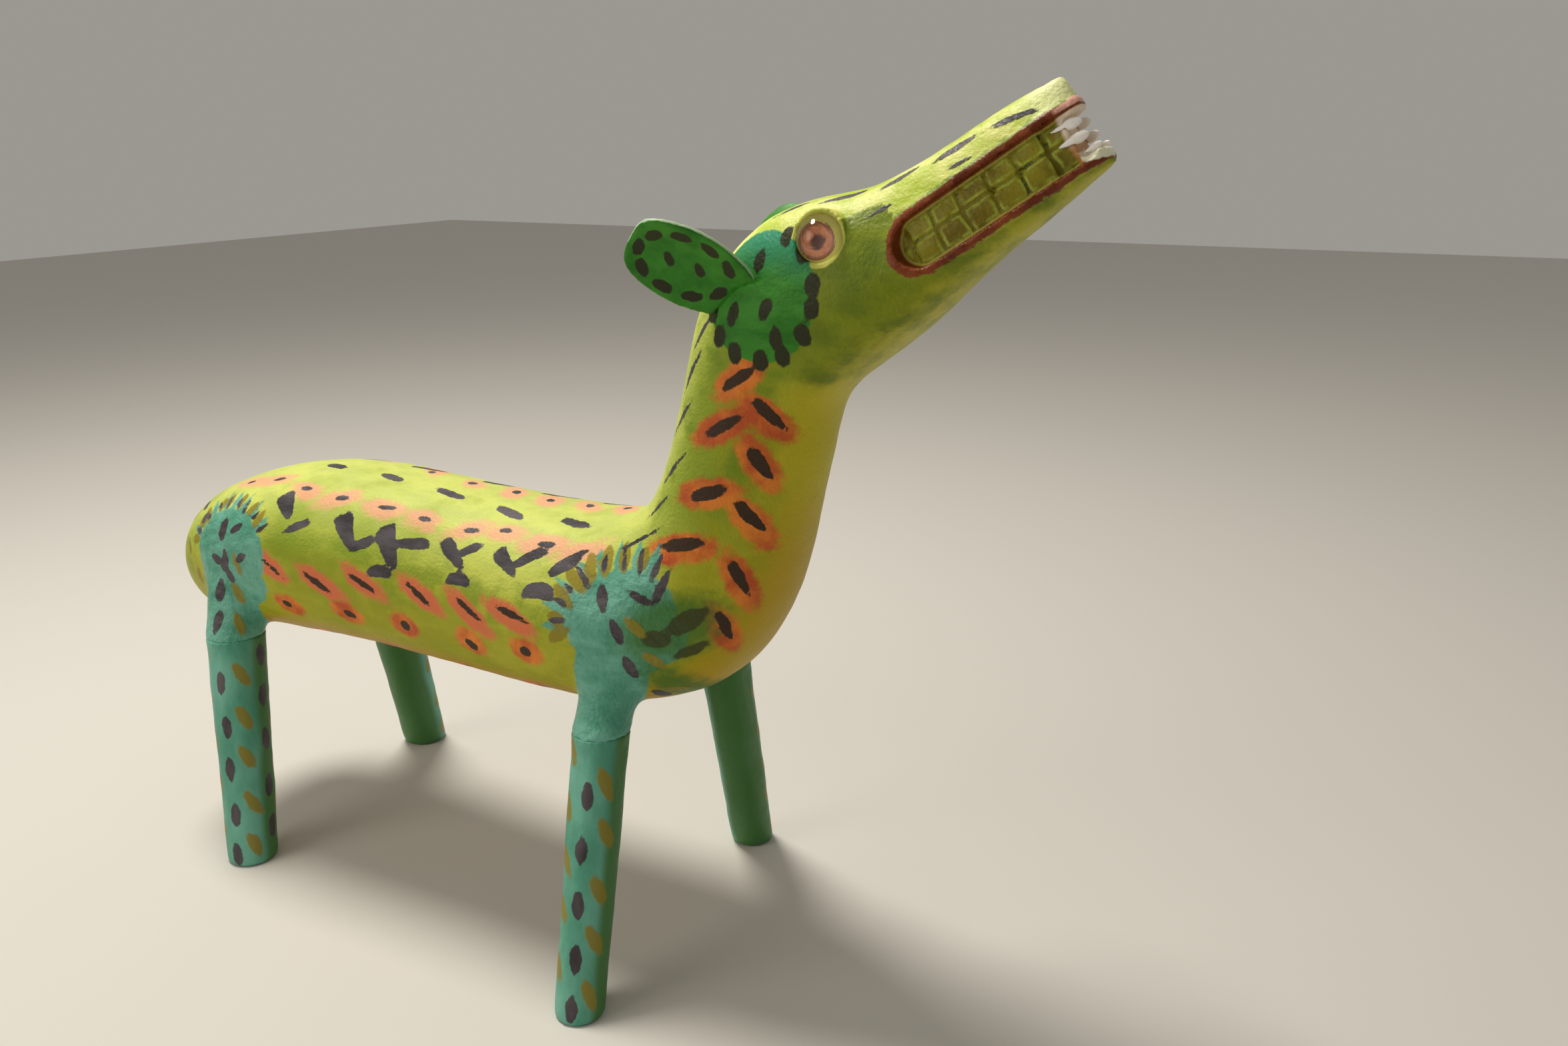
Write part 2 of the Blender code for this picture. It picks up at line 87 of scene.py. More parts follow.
class Value:
    """A number that varies over a surface; arithmetic on it adds the paint's own nodes."""

    def __init__(self, paint, socket):
        self.paint = paint
        self.socket = socket

    def maths(self, operation, *values):
        return self.paint.node("ShaderNodeMath", {"operation": operation}, values)

    def __add__(self, other):
        return self.maths("ADD", self, other)

    def __sub__(self, other):
        return self.maths("SUBTRACT", self, other)

    def __rsub__(self, other):
        return self.maths("SUBTRACT", other, self)

    def __mul__(self, other):
        return self.maths("MULTIPLY", self, other)

    __radd__ = __add__
    __rmul__ = __mul__


class Paint:
    """One material, mixed from layers over a principled shader."""

    def __init__(self, name, **plain):
        self.material = bpy.data.materials.new(name)
        self.material.use_nodes = True
        self.tree = self.material.node_tree
        self.shader = self.tree.nodes["Principled BSDF"]
        for socket, value in plain.items():
            self.shader.inputs[socket.replace("_", " ")].default_value = value

    def node(self, kind, settings=None, values=(), output=0):
        """Adds a node; values go to its sockets in order, or by name."""
        made = self.tree.nodes.new(kind)
        for key, value in (settings or {}).items():
            setattr(made, key, value)
        named = values.items() if isinstance(values, dict) else enumerate(values)
        for key, value in named:
            if value is not None:
                self.feed(made.inputs[key], value)
        return Value(self, made.outputs[output])

    def feed(self, socket, value):
        if isinstance(value, Value):
            self.tree.links.new(value.socket, socket)
        elif isinstance(value, tuple) and socket.type == "RGBA":
            socket.default_value = (*value[:3], 1.0)
        else:
            socket.default_value = value

    def attribute(self, name):
        return self.node("ShaderNodeAttribute", {"attribute_name": name}, output=2)

    def grain(self, scale, detail=3.0, stretch=(1, 1, 1), rough=0.5):
        """Fine irregularity about zero, from -0.5 to 0.5."""
        place = self.node("ShaderNodeTexCoord", output=3)
        if stretch != (1, 1, 1):
            place = self.node("ShaderNodeMapping", values={"Vector": place, "Scale": stretch})
        return self.node("ShaderNodeTexNoise", values={
            "Vector": place, "Scale": scale, "Detail": detail, "Roughness": rough}) - 0.5

    def ramp(self, value, low, high):
        """0 below low, 1 above high, smooth between."""
        return self.node("ShaderNodeMapRange", {"interpolation_type": "SMOOTHSTEP"}, {
            "Value": value, "From Min": low, "From Max": high})

    def inside(self, distance, edge, blur):
        """1 where a signed distance in millimetres is below edge."""
        return 1 - self.ramp(distance, edge - blur, edge + blur)

    def mix(self, share, under, over):
        return self.node("ShaderNodeMix", {"data_type": "RGBA"}, {0: share, 6: under, 7: over}, 2)

    def finish(self, colour, roughness, height, depth, strength=1.0):
        """Joins colour, roughness and a bump of depth metres to the shader."""
        self.feed(self.shader.inputs["Base Color"], colour)
        self.feed(self.shader.inputs["Roughness"], roughness)
        bump = self.node("ShaderNodeBump", values={
            "Strength": strength, "Distance": depth, "Height": height})
        self.feed(self.shader.inputs["Normal"], bump)
        return self.material


class Spot:
    """A place on a skin with its own axes: out of the skin, ahead along it, and down its side."""

    def __init__(self, place, out, ahead, down):
        self.place = place
        self.out = out
        self.ahead = (ahead - out * ahead.dot(out)).normalized()
        across = out.cross(self.ahead)
        self.down = across if across.dot(down) > 0 else -across


class Skin:
    """A piece's surface and its coats: for each, how far each point is from the nearest dab."""

    def __init__(self, piece):
        self.piece = piece
        mesh = piece.data
        self.points = np.empty(len(mesh.vertices) * 3)
        mesh.vertices.foreach_get("co", self.points)
        self.points = self.points.reshape(-1, 3)
        self.tree = BVHTree.FromObject(piece, bpy.context.evaluated_depsgraph_get())
        self.coats = {}

    def cast(self, start, direction, ahead, down):
        hit = self.tree.ray_cast(start, direction)
        if hit[0] is None:
            return None
        out = hit[1] if hit[1].dot(direction) > 0 else -hit[1]
        return Spot(hit[0], out, ahead, down)

    def beside(self, spot, ahead, down):
        """The spot that lies so many millimetres ahead and down of another."""
        above = spot.place + (spot.ahead * ahead + spot.down * down) * MM + spot.out * 0.06
        hit = self.tree.ray_cast(above, -spot.out)
        if hit[0] is None:
            return None
        return Spot(hit[0], hit[1] if hit[1].dot(spot.out) > 0 else -hit[1], spot.ahead, spot.down)

    def coat(self, name):
        return self.coats.setdefault(name, np.full(len(self.points), 30.0))

    def dab(self, name, spot, heading, length, width, square=2.0, taper=0.0, bend=0.0):
        """A brush dab of length and width in millimetres, heading in degrees down from ahead."""
        if spot is None:
            return
        coat = self.coat(name)
        turn = math.radians(heading)
        along = spot.ahead * math.cos(turn) + spot.down * math.sin(turn)
        aside = spot.out.cross(along)
        away = (self.points - np.array(spot.place)) / MM
        near = np.nonzero((away ** 2).sum(1) < (length / 2 + 30) ** 2)[0]
        away = away[near]
        x = away @ np.array(along)
        y = away @ np.array(aside)
        z = np.abs(away @ np.array(spot.out))
        y = y - bend * (x * x / (length / 2) - length / 4)
        half = width / 2 * np.clip(1 - taper * x / (length / 2), 0.15, 2)
        reach = (np.abs(x) / (length / 2)) ** square + (np.abs(y) / half) ** square
        reach = reach ** (1 / square)
        distance = (reach - 1) * width / 2 + np.maximum(z - 14, 0)
        coat[near] = np.minimum(coat[near], distance)

    def rod(self, name, start, end, radius):
        """Covers all that is nearer than radius to the line from start to end."""
        coat = self.coat(name)
        line = np.array(end - start)
        away = self.points - np.array(start)
        share = np.clip(away @ line / (line @ line), 0, 1)
        distance = np.linalg.norm(away - share[:, None] * line, axis=1) / MM - radius
        np.minimum(coat, distance, out=coat)

    def keep(self):
        """Writes every coat on to the mesh."""
        for name, values in self.coats.items():
            layer = self.piece.data.attributes.new(name, "FLOAT", "POINT")
            layer.data.foreach_set("value", values.astype(np.float32))


def even_skin(node, name, voxel):
    """A merged copy of a CAD node under one even skin of small quads."""
    bm = bmesh.new()
    bm.from_mesh(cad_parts[node].data)
    bmesh.ops.remove_doubles(bm, verts=bm.verts[:], dist=0.00002)
    mesh = bpy.data.meshes.new(name)
    bm.to_mesh(mesh)
    tree = BVHTree.FromBMesh(bm)
    bm.free()
    piece = bpy.data.objects.new(name, mesh)
    bpy.context.scene.collection.objects.link(piece)
    remesh = piece.modifiers.new("even skin", "REMESH")
    remesh.mode = "VOXEL"
    remesh.voxel_size = voxel
    graph = bpy.context.evaluated_depsgraph_get()
    piece.data = bpy.data.meshes.new_from_object(piece.evaluated_get(graph))
    piece.modifiers.clear()
    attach(piece, "root")
    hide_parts(node)
    return piece, tree


def refine(piece, tree, chosen):
    """Halves the quads where chosen(point) holds and lays their corners on the solid again."""
    bm = bmesh.new()
    bm.from_mesh(piece.data)
    picked = {v for v in bm.verts if chosen(v.co)}
    edges = [e for e in bm.edges if e.verts[0] in picked and e.verts[1] in picked]
    bmesh.ops.subdivide_edges(bm, edges=edges, cuts=1, use_grid_fill=True)
    for vert in bm.verts:
        if chosen(vert.co):
            vert.co = tree.find_nearest(vert.co)[0]
    bm.to_mesh(piece.data)
    bm.free()


def ease(piece, softness, rounds):
    """Smooths a mesh, each point by its own share; returns the points and their normals."""
    mesh = piece.data
    points = np.empty(len(mesh.vertices) * 3)
    mesh.vertices.foreach_get("co", points)
    points = points.reshape(-1, 3)
    ends = np.empty(len(mesh.edges) * 2, int)
    mesh.edges.foreach_get("vertices", ends)
    ends = ends.reshape(-1, 2)
    a = np.concatenate((ends[:, 0], ends[:, 1]))
    b = np.concatenate((ends[:, 1], ends[:, 0]))
    count = np.maximum(np.bincount(a, minlength=len(points)), 1)

    def mean(values):
        return np.bincount(a, weights=values[b], minlength=len(points)) / count

    def mean_points(values):
        return np.stack([mean(values[:, axis]) for axis in range(3)], 1)

    share = softness(points)[:, None] * 0.6
    for _ in range(rounds):
        points += (mean_points(points) - points) * share
    mesh.vertices.foreach_set("co", points.ravel())
    mesh.update()
    normals = np.empty(len(points) * 3)
    mesh.vertices.foreach_get("normal", normals)
    return points, normals.reshape(-1, 3)


def shade(piece, material):
    piece.data.materials.clear()
    piece.data.materials.append(material)
    piece.data.shade_smooth()


def muzzle_axes(points):
    """u and v in millimetres for model points."""
    away = (points - np.array(PLACE)) / MM - np.array(MUZZLE_TIP)
    u = -away[:, 0] * math.cos(SLOPE) - away[:, 2] * math.sin(SLOPE)
    v = -away[:, 0] * math.sin(SLOPE) + away[:, 2] * math.cos(SLOPE)
    return u, v


def from_mouth(points):
    """Distance in millimetres from the mouth's long bar, negative inside it."""
    u, v = muzzle_axes(points)
    past = np.maximum(u - (MOUTH_BACK - MOUTH_RADIUS), 0)
    return np.hypot(past, v - MOUTH_MIDDLE) - MOUTH_RADIUS


def from_eye(points):
    """Distance in millimetres from the eyes' middle, seen from the side."""
    away = (points - np.array(PLACE)) / MM
    return np.hypot(away[:, 0] - EYE_CENTRE[0], away[:, 2] - EYE_CENTRE[1])


def spine(station):
    """Centre, up and ahead of the log at a station."""
    k = min(int(station), len(SPINE) - 2)
    r = station - k
    xt, zt, xb, zb = [p * (1 - r) + q * r for p, q in zip(SPINE[k], SPINE[k + 1])]
    up = Vector((xt - xb, 0, zt - zb)).normalized()
    return placed((xt + xb) / 2, 0, (zt + zb) / 2), up, Vector((up.z, 0, -up.x))


# The body

body, body_tree = even_skin("body", "painted_body", 0.0031)


def from_seams(points):
    """Distance in millimetres from the nearest leg's seam."""
    away = (points - np.array(PLACE)) / MM
    flat = [np.hypot(away[:, 0] - seam[0], away[:, 1] - seam[1]) for _, seam in LEGS.values()]
    return np.hypot(np.maximum(np.min(flat, 0) - 26, 0), away[:, 2] - SEAM)


def is_crisp(point):
    """Whether a point is in the parts that are carved small or end in an edge."""
    one = np.array([point])
    u, v = muzzle_axes(one)
    snout = u[0] < 136 and abs(v[0]) < 60
    return (snout and (from_mouth(one)[0] < 7 or u[0] < 9)) or from_eye(one)[0] < 20 \
        or from_seams(one)[0] < 6


def is_toothed(point):
    """Whether a point is in the long bar that holds the back teeth."""
    one = np.array([point])
    u, _ = muzzle_axes(one)
    return from_mouth(one)[0] < 1 and 14 < u[0] < 128


refine(body, body_tree, is_crisp)
refine(body, body_tree, is_toothed)


def body_softness(points):
    u, _ = muzzle_axes(points)
    fine = np.minimum(from_mouth(points) - 4, from_eye(points) - 19)
    fine = np.minimum(np.minimum(fine, from_seams(points) - 4), np.maximum(u - 6, 0))
    return np.clip(fine / 10, 0.06, 1) * np.clip((u + 60) / 300, 0.3, 1)


def tooth_field(points):
    """How deep inside its tooth each point of the back rows is, in millimetres."""
    u, v = muzzle_axes(points)
    along, aside = [np.array([noise.noise(Vector(p) * 130 + shift) for p in points])
                    for shift in (Vector((0, 0, 0)), Vector((7.3, 3.1, 5.7)))]
    u, v = u + 1.6 * along, v + 1.3 * aside
    place = (u - TOOTH_ROW_FRONT) / TOOTH_PITCH
    across = np.abs(place - np.round(place))
    rows = np.minimum(across * TOOTH_PITCH, np.abs(v - MOUTH_MIDDLE - 1.5))
    return np.minimum(rows, -from_mouth(points) - 1.2)


def knots(points, normals):
    """The unevenness that the knife and the thick paint leave, in metres."""
    rise = np.empty(len(points))
    hips = [placed(HIP[0], side * HIP[1], HIP[2]) for side in (RIGHT, LEFT)]
    for k, point in enumerate(points):
        p = Vector(point)
        rise[k] = 0.0007 * noise.noise(p * 22) + 0.0003 * noise.noise(p * 70)
        near_hip = min((p - hip).length for hip in hips) / (HIP_RADIUS * MM)
        if near_hip < 1:
            rise[k] += HIP_LUMPS * MM * (1 - near_hip) * noise.noise(p * 130)
    return rise


points, normals = ease(body, body_softness, 20)
calm = np.clip((from_eye(points) - 18) / 8, 0, 1) * np.clip(from_seams(points) / 8, 0, 1)
points += normals * (knots(points, normals) * calm)[:, None]
tooth = np.full(len(points), 9.0)
barred = np.nonzero((from_mouth(points) < 0) & (muzzle_axes(points)[0] > 14))[0]
tooth[barred] = tooth_field(points[barred])
gap = 1 - np.clip(tooth / TOOTH_GAP_WIDTH, 0, 1) ** 1.5
points -= normals * (gap * TOOTH_GAP_DEPTH * MM * (tooth < 9))[:, None]
body.data.vertices.foreach_set("co", points.ravel())
body.data.update()
skin = Skin(body)


def on_log(station, angle, side):
    """The spot at a station, so many degrees down from the back's ridge on one side."""
    centre, up, ahead = spine(station)
    a = math.radians(angle)
    flank = Vector((0, side, 0))
    return skin.cast(centre, up * math.cos(a) + flank * math.sin(a), ahead,
                     flank * math.cos(a) - up * math.sin(a))


def vary(amount):
    return random.uniform(-amount, amount)


def row(name, side, stations, angles, heading, length, width, halo=None, loose=1, **shape):
    """Dabs at even stations, between two angles, each a little different."""
    first, last, count = stations
    for k in range(count):
        share = k / max(count - 1, 1)
        spot = on_log(first + (last - first) * share + vary(0.06) * loose,
                      angles[0] + (angles[1] - angles[0]) * share + vary(2.5) * loose, side)
        turn = heading + vary(7) * loose
        size = 1 + vary(0.12) * loose
        skin.dab(name, spot, turn, length * size, width * (1 + vary(0.13) * loose), **shape)
        if halo and spot:
            spread = 28 if halo == "smear" else 20
            aside = skin.beside(spot, vary(3), vary(3))
            skin.dab(halo, aside, turn + vary(8), length * size + spread, width + 13)


def sunburst(name, spot, count, radii, length, width, start=0, end=360, loose=1, **shape):
    """Leaf dabs round an oval, each pointing away from its middle."""
    for k in range(count):
        a = math.radians(start + (end - start) * (k + vary(0.12) * loose) / count)
        place = skin.beside(spot, radii[0] * math.cos(a), radii[1] * math.sin(a))
        heading = math.degrees(math.atan2(math.sin(a) * radii[0], math.cos(a) * radii[1]))
        skin.dab(name, place, heading + vary(6) * loose, length * (1 + vary(0.15) * loose), width,
                 **shape)


for side in (RIGHT, LEFT):
    # The back: big dashes beside the ridge, small ones in pink smears, angular patches below
    row("ink", side, (3.0, 7.1, 5), (7 if side == RIGHT else 26, 25), 13, 33, 9.5, square=3.2)
    row("ink", side, (1.9, 7.6, 10), (33, 43), -6, 15, 5, halo="smear", loose=1.5)
    row("ink", side, (3.1, 6.6, 5), (56, 60), 48, 32, 14, square=3.4, taper=0.4, loose=2)
    row("ink", side, (3.45, 7.5, 6), (66, 54), -18, 30, 9, square=2.8, taper=-0.3, loose=2)
    row("ink", side, (4.6, 7.0, 3), (76, 66), -4, 27, 11, square=2.8, bend=-0.2, loose=1.5)
    # The flank and belly: slanted brown strokes in red halos, then ringed dots
    row("stroke", side, (2.95, 6.7, 6), (90, 86), 27, 30, 5, halo="blush", loose=1.5)
    row("stroke", side, (3.1, 6.8, 5), (111, 106), 12, 12, 8, halo="ring", loose=1.5)
    row("stroke", side, (3.4, 6.6, 4), (140, 135), 10, 12, 8, halo="ring")
    # The neck: chevrons in orange halos, thin dashes up the nape
    row("stroke", side, (10.4, 13.8, 4), (88, 96), 27, 31, 8, halo="ember", square=2.4)
    row("stroke", side, (9.8, 13.4, 5), (134, 127), 112, 30, 8.5, halo="ember", taper=0.35)
    row("ink", side, (9.3, 13.9, 6), (54, 46), 4, 34, 3.6)
    # The brow and the top of the snout
    row("ink", side, (16.7, 20.5, 5), (20, 34), 6, 32, 5, square=1.6)
    row("ink", side, (18.2, 19.5, 2), (54, 54), 8, 18, 3, square=1.6)

    # The rump
    row("ink", side, (0.7, 1.3, 3), (30, 62), 50, 14, 6, loose=2)
    row("ochre", side, (0.6, 1.2, 3), (55, 95), 70, 16, 7, loose=2)

# Pink rings along the ridge
row("ink", RIGHT, (4.2, 7.6, 6), (-16, -4), 45, 12, 7, halo="smear")

for side in (RIGHT, LEFT):
    label = "right" if side == RIGHT else "left"
    for station, angle, radii, pair, fringe in ((8.4, 86, (46, 32), "front", (8, 22, 10)),
                                                (2.15, 80, (45, 35), "hind", (8, 18, 8))):
        middle = on_log(station, angle, side)
        _, seam = LEGS[f"leg_{pair}_{label}"]
        count, length, width = fringe
        front = pair == "front"
        skin.dab("teal", middle, 0, radii[0] * 2, radii[1] * 2)
        skin.dab("teal", skin.beside(middle, 4, radii[1] * 0.7), 0, radii[0] * 1.8, 46)
        skin.rod("teal", placed(*seam, SEAM - 4), middle.place, 28)
        # A fringe of leaf dabs and thin wedges round its upper edge
        rim = [r + length * 0.35 for r in radii]
        sunburst("teal", middle, count, rim, length * 1.3, width, 190, 335, square=1.5, taper=0.5)
        sunburst("ochre", middle, count, rim, length, width * 1.1, 180, 325, square=1.7, loose=2)
        sunburst("ink", middle, count, rim, length * 0.9, 4.5, 192, 337, taper=0.55, loose=2)
        # Loose dabs inside, broad leaves on the front side, ovals running down into the leg
        if front:
            # Painted shade: darker green over the front of the shoulder patch and down its stub
            skin.dab("moss", skin.beside(middle, 34, 18), 0, 78, 46)
            skin.dab("moss", skin.beside(middle, 12, 62), 84, 90, 30)
            skin.dab("ink", skin.beside(middle, 22, -8), 40, 24, 5.5)
            skin.dab("ink", skin.beside(middle, 40, -12), -44, 30, 6.5, taper=0.3)
            skin.dab("olive", skin.beside(middle, 47, 16), -8, 36, 15, square=1.7)
            skin.dab("olive", skin.beside(middle, 22, 22), 20, 22, 13)
            skin.dab("olive", skin.beside(middle, 40, 36), 4, 26, 9)
            skin.dab("ring", skin.beside(middle, 50, -28), 60, 14, 10)
        else:
            for ahead, down, heading in ((-12, -14, 70), (8, -20, -30), (17, 4, -25), (-14, 10, 30),
                                         (2, 22, 60)):
                skin.dab("ink", skin.beside(middle, ahead, down), heading + vary(15), 17, 7,
                         square=1.8)
        for drop in range(4):
            low = skin.beside(middle, -6 + vary(3), -16 + drop * 26)
            skin.dab("ink", low, 90 + vary(8), 21, 9, square=1.9)
            low = skin.beside(middle, 10 + vary(3), 10 + drop * 26)
            skin.dab("ochre", low, 62 + vary(8), 21, 8, square=1.9)
    # The green patch that the ear grows from, ringed with dark ovals
    middle = on_log(15.4, 72, side)
    skin.dab("leaf", middle, 90, 82, 82)
    for k in range(10):
        a = math.radians(-16 + 25 * k + vary(4))
        place = skin.beside(middle, 40 * math.cos(a), 39 * math.sin(a))
        skin.dab("oval", place, -48 + vary(16), 14.5, 11, square=2.2)
    for ahead, down in ((-2, 10), (-22, -6), (14, -16), (-10, 27)):
        skin.dab("oval", skin.beside(middle, ahead, down), -30 + vary(20), 16, 9)

# Fields that the paint follows: how far under the log, how far up, and the mouth's parts
best = np.full(len(points), 1e9)
under = np.zeros(len(points))
for step in range((len(SPINE) - 1) * 4):
    centre, up, ahead = spine(step / 4)
    away = points - np.array(centre)
    off = np.abs(away @ np.array(ahead)) + 0.15 * np.linalg.norm(away, axis=1)
    closer = off < best
    best[closer] = off[closer]
    under[closer] = -(normals[closer] @ np.array(up))
skin.coats["under"] = under
skin.coats["mouth"] = from_mouth(points)
skin.coats["tooth"] = tooth
u, v = muzzle_axes(points)
skin.coats["u"], skin.coats["v"] = u, v
skin.coats["eye"] = from_eye(points)
skin.coats["height"] = points[:, 2] / MM
# How far below the edge between the snout's upper planes and its sides each point is
level = (points[:, 2] - PLACE.z) / MM - 541 - (points[:, 0] / MM - PLACE.x / MM - 345) * 0.42
skin.coats["chamfer"] = np.where(u < 118, 15.5 - v, np.maximum(-level, 0.9 * (u - 235)))
skin.coats["cheek"] = (306 - (points[:, 0] - PLACE.x) / MM
                       + np.maximum(485 - points[:, 2] / MM, 0) * 0.8)
skin.keep()

TURQUOISE = (0.075, 0.30, 0.20), (0.16, 0.44, 0.33)
OCHRE = (0.26, 0.20, 0.012)
CHARCOAL = (0.035, 0.03, 0.033), (0.10, 0.088, 0.10)
LEAF = (0.014, 0.15, 0.004), (0.045, 0.26, 0.018)
OVAL = (0.022, 0.026, 0.006)


def body_paint():
    paint = Paint("brushed_green_paint", Specular_IOR_Level=0.22)
    wobble = paint.grain(140, 3)
    broad = paint.grain(9, 3)
    streak = paint.grain(60, 4, (0.35, 0.8, 1), 0.6)
    blotch = paint.grain(38, 4, rough=0.6)
    fine = paint.grain(420, 3)
    edge = wobble * 3 + fine * 1.2
    under = paint.attribute("under") + broad * 0.5
    colour = paint.mix(paint.ramp(streak + blotch, -0.22, 0.2), (0.26, 0.34, 0.012),
                       (0.50, 0.55, 0.045))
    colour = paint.mix(paint.ramp(broad, 0.0, 0.2) * 0.4, colour, (0.22, 0.34, 0.012))
    # Painted light: paler lime on the top of the log, where the light falls
    colour = paint.mix(paint.ramp(under, -0.1, -0.95) * 0.55, colour, (0.66, 0.72, 0.22))
    # Painted shade: darker olive-yellow on the log's sides, turned from the light
    side = paint.ramp(under + blotch * 0.5, -0.25, 0.15)
    colour = paint.mix(side * 0.65, colour, (0.38, 0.34, 0.004))
    colour = paint.mix(paint.ramp(blotch + broad, 0.0, 0.3) * 0.4, colour, (0.19, 0.28, 0.008))
    # Painted shade: darker green in broken patches on the sides of the neck
    neck = paint.ramp(paint.attribute("height") + broad * 60, 300, 380)
    flank = paint.ramp(under + blotch, -0.8, -0.3) * (1 - paint.ramp(under + blotch, 0.3, 0.7))
    colour = paint.mix(neck * flank * paint.ramp(blotch + streak, -0.3, 0.2) * 0.8, colour,
                       (0.11, 0.21, 0.005))
    # Painted warm bounce light: golden on the underside of the log, less of it on the head
    head = paint.inside(paint.attribute("cheek"), 0.0, 30) * 0.35
    colour = paint.mix(paint.ramp(under + streak * 0.5 - head, 0.45, 0.85), colour,
                       paint.mix(neck, (0.48, 0.33, 0.006), (0.52, 0.45, 0.012)))
    low = paint.inside(paint.attribute("height") + broad * 30, 205, 18)
    colour = paint.mix(low * paint.ramp(under, 0.2, 0.8) * 0.6, colour, (0.45, 0.20, 0.02))
    # Painted shade: dark olive green on the cheeks and sides of the head, the lowest parts left out
    cheek = paint.inside(paint.attribute("cheek") + blotch * 30, 0.0, 12)
    cheek = cheek * (1 - paint.ramp(under + blotch, 0.65, 1.05))
    colour = paint.mix(cheek * 0.9, colour, paint.mix(paint.ramp(blotch + streak, -0.2, 0.2),
                                                       (0.11, 0.17, 0.003), (0.20, 0.25, 0.005)))
    # Painted light: the brow and the snout's upper planes are paler where the light falls on them,
    # down to the edge of the cheek
    above = paint.inside(paint.attribute("chamfer") + edge * 1.5, 0.0, 1.5)
    colour = paint.mix(above * 0.75, colour, paint.mix(paint.ramp(streak + blotch, -0.2, 0.2),
                                                       (0.52, 0.66, 0.05), (0.88, 0.90, 0.30)))
    # Painted highlight: the upper planes near the snout's end are paler still
    end = paint.inside(paint.attribute("u") + blotch * 50, 18, 14) * above
    colour = paint.mix(end * 0.7, colour, (0.93, 0.95, 0.55))
    rim = paint.inside(paint.attribute("eye") + edge * 0.6, 17.2, 0.6)
    colour = paint.mix(rim * 0.8, colour, (0.62, 0.60, 0.12))
    soft = wobble * 7 + fine * 3
    reds = paint.mix(paint.ramp(blotch, -0.15, 0.15), (0.52, 0.06, 0.02), (0.82, 0.22, 0.03))
    colour = paint.mix(paint.inside(paint.attribute("ember") + soft, 0.0, 2.5) * 0.9, colour, reds)
    colour = paint.mix(paint.inside(paint.attribute("ring") + soft, 0.0, 2.5) * 0.9, colour, reds)
    colour = paint.mix(paint.inside(paint.attribute("blush") + soft, 0.0, 2.5) * 0.9, colour,
                       (0.74, 0.15, 0.07))
    smear = paint.attribute("smear") + soft + streak * 16
    colour = paint.mix(paint.inside(smear, 0.0, 3.5) * 0.75, colour, (0.82, 0.34, 0.24))
    teal = paint.inside(paint.attribute("teal") + edge * 1.8, 0.0, 1.2)
    turquoise = paint.mix(paint.ramp(streak + blotch, -0.25, 0.25), *TURQUOISE)
    colour = paint.mix(teal, colour, turquoise)
    # Painted shade: darker green toward the front of the shoulder
    moss = paint.inside(paint.attribute("moss") + wobble * 14, 0.0, 9)
    colour = paint.mix(moss * 0.85, colour, (0.045, 0.16, 0.016))
    olive = paint.inside(paint.attribute("olive") + edge, 0.0, 0.8)
    colour = paint.mix(olive * 0.9, colour, (0.045, 0.05, 0.012))
    leaf = paint.inside(paint.attribute("leaf") + edge, 0.0, 0.8)
    green = paint.mix(paint.ramp(streak, -0.2, 0.2), *LEAF)
    high = paint.ramp(paint.attribute("height") + broad * 40, 505, 535)
    green = paint.mix(high, green, (0.03, 0.27, 0.15))
    colour = paint.mix(leaf, colour, green)
    ochre = paint.inside(paint.attribute("ochre") + edge, 0.0, 0.8)
    colour = paint.mix(ochre * 0.9, colour, OCHRE)
    ink = paint.inside(paint.attribute("ink") + edge, 0.0, 0.35)
    colour = paint.mix(ink, colour, paint.mix(paint.ramp(streak, -0.2, 0.2), *CHARCOAL))
    colour = paint.mix(paint.inside(paint.attribute("oval") + edge, 0.0, 0.6), colour, OVAL)
    stroke = paint.inside(paint.attribute("stroke") + edge, 0.0, 0.35)
    colour = paint.mix(stroke, colour, (0.045, 0.024, 0.012))
    # The mouth: a lumpy red-brown lip round olive-yellow teeth
    mouth = paint.attribute("mouth")
    u = paint.attribute("u")
    v = paint.attribute("v")
    tooth = paint.attribute("tooth") + fine * 0.8
    barred = paint.inside(u, 140, 2)
    lip = paint.inside(mouth + edge * 1.7, 4.6, 0.5) * barred
    colour = paint.mix(lip, colour, paint.mix(paint.ramp(blotch, -0.15, 0.15), (0.13, 0.02, 0.003),
                                              (0.25, 0.055, 0.012)))
    teeth = paint.inside(mouth, -0.6, 0.5) * barred
    bone = paint.mix(paint.ramp(blotch, -0.15, 0.15), (0.16, 0.125, 0.004), (0.27, 0.24, 0.01))
    # Light lines round each back tooth: partly their painted outline, partly a painted highlight on
    # their carved edges
    contour = paint.inside(tooth, 2.9, 0.8) * (1 - paint.inside(tooth, 1.3, 0.5))
    bone = paint.mix(contour * paint.ramp(wobble, -0.2, 0.1), bone, (0.36, 0.42, 0.045))
    # Painted shade: darker in the gaps between the back teeth, near black in patches
    bone = paint.mix(paint.inside(tooth, 0.8, 0.6) * 0.4, bone, (0.16, 0.15, 0.008))
    gap_shade = paint.inside(tooth, 1.2, 0.5) * paint.ramp(wobble + blotch, 0.1, 0.18)
    bone = paint.mix(gap_shade * 0.8, bone, (0.03, 0.05, 0.005))
